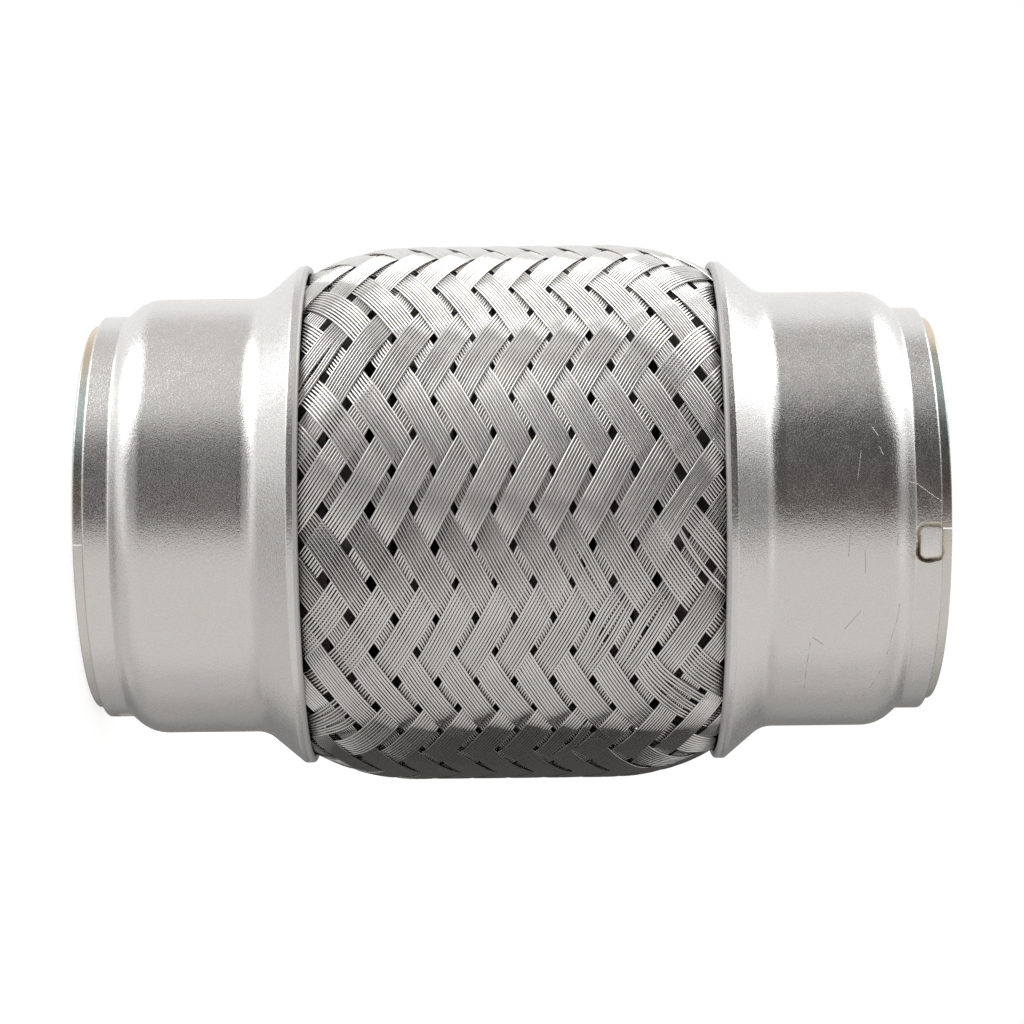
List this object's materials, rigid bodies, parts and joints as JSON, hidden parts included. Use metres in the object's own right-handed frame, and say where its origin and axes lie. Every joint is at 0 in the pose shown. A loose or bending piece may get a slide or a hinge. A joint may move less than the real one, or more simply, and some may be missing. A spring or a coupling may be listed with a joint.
{
  "type": "exhaust flex pipe",
  "caption": "Braided flexible coupling for an exhaust line: a bellows under a woven steel sleeve, gripped at both ends by pressed caps with rolled end rings.",
  "frame": {"origin": "middle of the lower end ring's face, on the pipe's axis, where the part stands", "axes": "+Z runs along the pipe's axis from the picture's left end to its right end, -Y points to the picture's camera, and -X is the picture's upper side"},
  "size_m": [0.0644, 0.0644, 0.1],
  "materials": {
    "ring_steel": "cut strip steel, satin, with faint straw and blue heat tint",
    "cap_steel": "pressed stainless sheet, satin with a fine mottled grain",
    "wire_steel": "drawn stainless wire, bright, woven in flat strands",
    "inner_steel": "thin stainless sheet, formed"
  },
  "bodies": {
    "root": {"lower_end_ring": "ring_steel", "upper_end_ring": "ring_steel", "lower_end_cap": "cap_steel", "upper_end_cap": "cap_steel", "outer_braid": "wire_steel", "bellows": "inner_steel", "interlock_liner": "inner_steel"}
  },
  "joints": []
}
